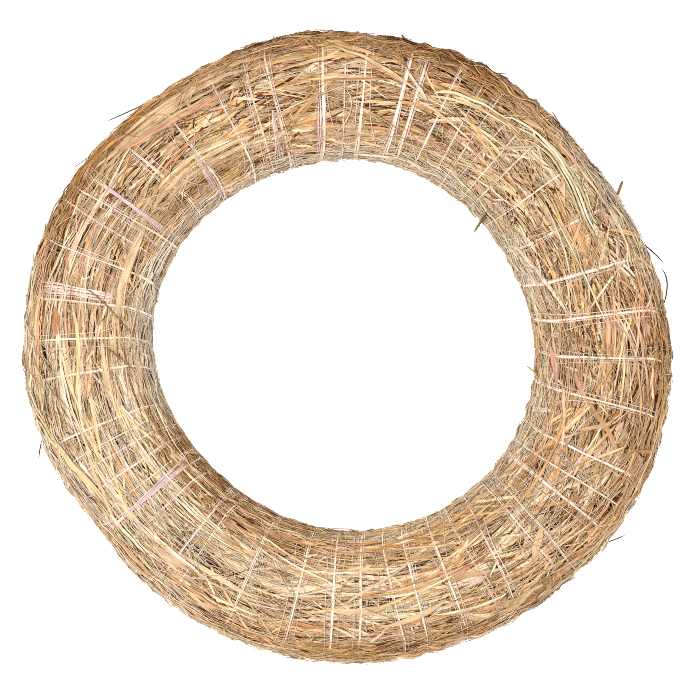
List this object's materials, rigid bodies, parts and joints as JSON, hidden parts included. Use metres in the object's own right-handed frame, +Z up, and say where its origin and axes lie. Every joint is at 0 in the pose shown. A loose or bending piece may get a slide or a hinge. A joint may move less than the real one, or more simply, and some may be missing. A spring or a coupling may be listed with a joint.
{
  "type": "wreath frame",
  "caption": "Ring-shaped floristry wreath base of bound dry hay, laid in overlapping wisps round a straw rope and wound tightly with thin white film thread; lies flat, open centre.",
  "frame": {"origin": "middle of the bounding box, on the flat underside that the ring rests on", "axes": "+Z up along the ring's axis; +Y towards the top of the ring as it is usually hung or pictured; +X to its right"},
  "size_m": [0.3056, 0.2988, 0.0559],
  "materials": {
    "top_hay": "dry matte hay stems, pale straw and tan",
    "outer_hay": "dry matte hay stems, browner and looser",
    "inner_hay": "dry matte hay stems, greyer tan",
    "core_straw": "dry matte straw",
    "core_thread": "matte binding thread",
    "film_thread": "thin white translucent split film, soft gloss"
  },
  "bodies": {
    "root": {"core_rope": "core_straw", "core_thread": "core_thread", "film_thread": "film_thread", "inner_hay_wisp_01": "inner_hay", "inner_hay_wisp_02": "inner_hay", "inner_hay_wisp_03": "inner_hay", "inner_hay_wisp_04": "inner_hay", "inner_hay_wisp_05": "inner_hay", "inner_hay_wisp_06": "inner_hay", "inner_hay_wisp_07": "inner_hay", "inner_hay_wisp_08": "inner_hay", "inner_hay_wisp_09": "inner_hay", "inner_hay_wisp_10": "inner_hay", "inner_hay_wisp_11": "inner_hay", "inner_hay_wisp_12": "inner_hay", "outer_hay_wisp_01": "outer_hay", "outer_hay_wisp_02": "outer_hay", "outer_hay_wisp_03": "outer_hay", "outer_hay_wisp_04": "outer_hay", "outer_hay_wisp_05": "outer_hay", "outer_hay_wisp_06": "outer_hay", "outer_hay_wisp_07": "outer_hay", "outer_hay_wisp_08": "outer_hay", "outer_hay_wisp_09": "outer_hay", "outer_hay_wisp_10": "outer_hay", "outer_hay_wisp_11": "outer_hay", "outer_hay_wisp_12": "outer_hay", "top_hay_wisp_01": "top_hay", "top_hay_wisp_02": "top_hay", "top_hay_wisp_03": "top_hay", "top_hay_wisp_04": "top_hay", "top_hay_wisp_05": "top_hay", "top_hay_wisp_06": "top_hay", "top_hay_wisp_07": "top_hay", "top_hay_wisp_08": "top_hay", "top_hay_wisp_09": "top_hay", "top_hay_wisp_10": "top_hay", "top_hay_wisp_11": "top_hay", "top_hay_wisp_12": "top_hay"}
  },
  "joints": []
}
